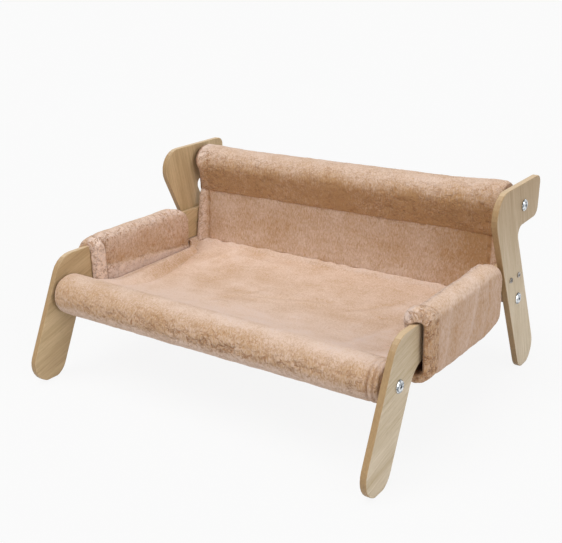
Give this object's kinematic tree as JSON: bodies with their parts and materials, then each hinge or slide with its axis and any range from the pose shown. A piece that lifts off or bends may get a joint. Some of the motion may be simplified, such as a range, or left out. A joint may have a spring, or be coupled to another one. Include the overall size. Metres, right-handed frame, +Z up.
{
  "type": "cat sofa",
  "caption": "Low open-framed sofa for a cat: plywood side frames bolted to round crossbars, with a plush sling cover that has a padded front bolster, seat, back and arm sleeves",
  "frame": {"origin": "centre of the feet's outline on the floor, below the middle of the sofa", "axes": "+X to the right seen from the front, +Y to the back, +Z up"},
  "size_m": [0.6062, 0.4854, 0.2938],
  "materials": {
    "oak_veneer_plywood": "clear satin lacquer over light oak veneer, plain plywood edges",
    "round_pine": "sanded round bar",
    "zinc_plated_steel": "bright zinc plate",
    "padding_foam": "open-cell foam, hidden inside the bolsters",
    "rose_beige_plush": "short soft pile, dusty pink beige"
  },
  "bodies": {
    "root": {"left_front_leg_arm": "oak_veneer_plywood", "right_front_leg_arm": "oak_veneer_plywood", "left_rear_post": "oak_veneer_plywood", "right_rear_post": "oak_veneer_plywood", "front_crossbar": "round_pine", "seat_rear_crossbar": "round_pine", "back_top_crossbar": "round_pine", "left_front_crossbar_insert": "zinc_plated_steel", "right_front_crossbar_insert": "zinc_plated_steel", "left_front_crossbar_bolt": "zinc_plated_steel", "right_front_crossbar_bolt": "zinc_plated_steel", "left_seat_rear_crossbar_insert": "zinc_plated_steel", "right_seat_rear_crossbar_insert": "zinc_plated_steel", "left_seat_rear_crossbar_bolt": "zinc_plated_steel", "right_seat_rear_crossbar_bolt": "zinc_plated_steel", "left_back_top_crossbar_insert": "zinc_plated_steel", "right_back_top_crossbar_insert": "zinc_plated_steel", "left_back_top_crossbar_bolt": "zinc_plated_steel", "right_back_top_crossbar_bolt": "zinc_plated_steel", "left_arm_front_insert": "zinc_plated_steel", "right_arm_front_insert": "zinc_plated_steel", "left_arm_front_screw": "zinc_plated_steel", "right_arm_front_screw": "zinc_plated_steel", "left_arm_rear_insert": "zinc_plated_steel", "right_arm_rear_insert": "zinc_plated_steel", "left_arm_rear_screw": "zinc_plated_steel", "right_arm_rear_screw": "zinc_plated_steel", "front_bolster_padding": "padding_foam", "top_bolster_padding": "padding_foam", "front_bolster_cover": "rose_beige_plush", "top_bolster_cover": "rose_beige_plush", "seat_panel": "rose_beige_plush", "back_panel": "rose_beige_plush", "rear_bar_wrap": "rose_beige_plush", "left_arm_sleeve": "rose_beige_plush", "right_arm_sleeve": "rose_beige_plush"}
  },
  "joints": []
}
